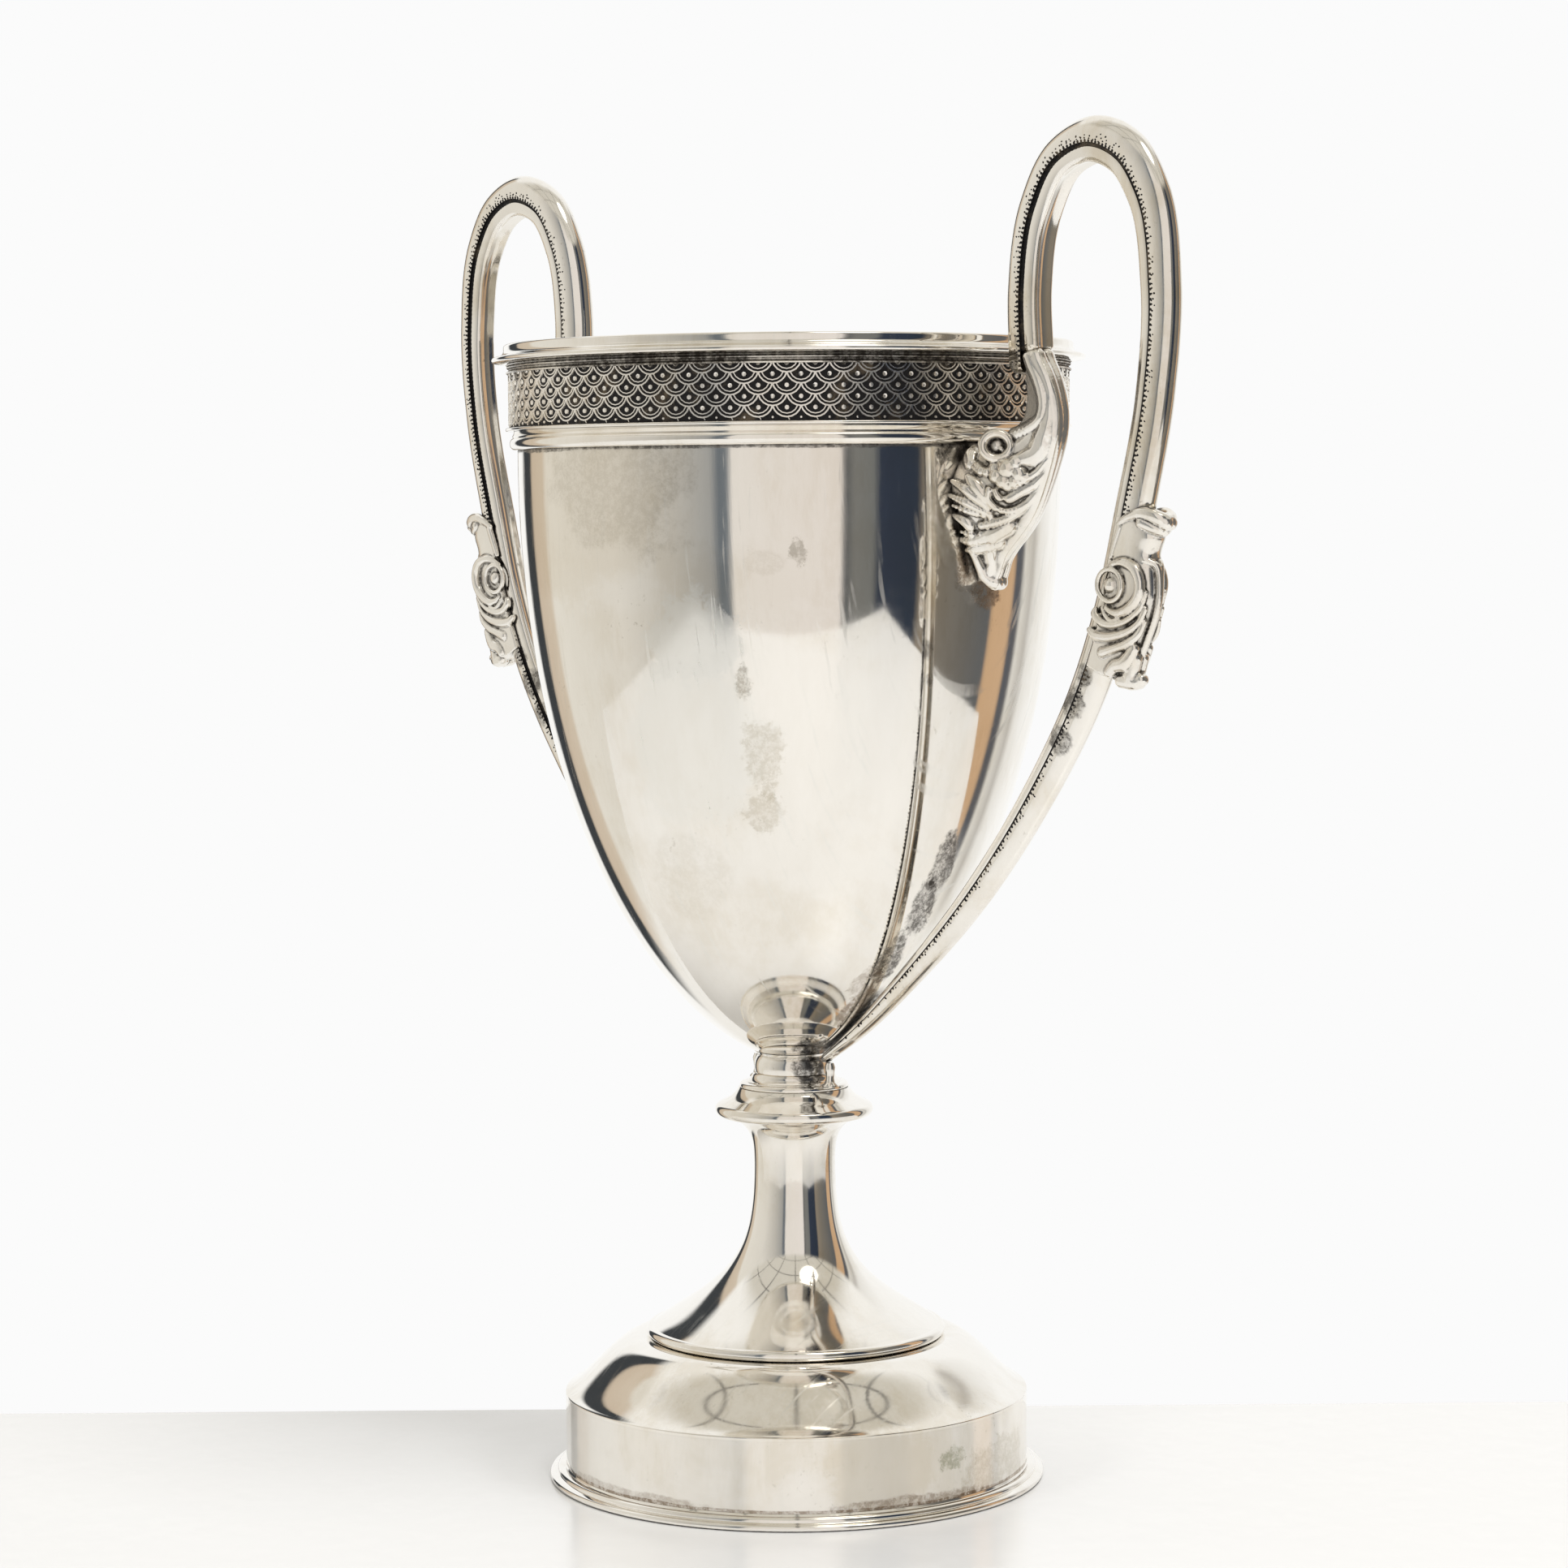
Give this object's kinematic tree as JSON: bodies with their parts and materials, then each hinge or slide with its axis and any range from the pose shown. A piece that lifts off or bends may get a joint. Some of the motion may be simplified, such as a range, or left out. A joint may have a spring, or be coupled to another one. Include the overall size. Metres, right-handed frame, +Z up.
{
  "type": "cup trophy",
  "caption": "Tall two-handled presentation cup: an egg-shaped bowl with a scale-patterned band, looped handles with leaf brackets, and a stepped domed foot.",
  "frame": {"origin": "middle of the flat face of the foot ring that the cup stands on", "axes": "+Z up along the cup's axis; both handles lie in the X-Z plane; +Y is across the handles"},
  "size_m": [0.2354, 0.135, 0.3042],
  "materials": {
    "polished_silver": "polished sterling silver with fine scratches and light tarnish",
    "bright_silver": "bright polished silver on wires and mouldings",
    "cast_silver": "cast and chased silver with dark oxide in its hollows",
    "oxidised_silver": "struck silver band with blackened ground",
    "plain_silver": "unpolished silver sheet, dull grey",
    "fixing_brass": "turned brass, dull"
  },
  "bodies": {
    "root": {"bowl": "polished_silver", "rim_moulding": "bright_silver", "scale_band": "oxidised_silver", "band_wire": "bright_silver", "shoulder_moulding": "bright_silver", "collar": "polished_silver", "collar_ring": "bright_silver", "knop": "bright_silver", "stem": "polished_silver", "step_bead": "bright_silver", "plinth_dome": "polished_silver", "plinth_wall": "polished_silver", "foot_ring": "bright_silver", "base_disc": "plain_silver", "tie_rod": "fixing_brass", "clamp_plate": "plain_silver", "clamp_washer": "fixing_brass", "clamp_nut": "fixing_brass", "right_handle_shell": "bright_silver", "right_handle_liner": "polished_silver", "right_leaf_bracket": "cast_silver", "right_scroll_mount": "cast_silver", "right_tip_post": "cast_silver", "left_handle_shell": "bright_silver", "left_handle_liner": "polished_silver", "left_leaf_bracket": "cast_silver", "left_scroll_mount": "cast_silver", "left_tip_post": "cast_silver"}
  },
  "joints": []
}
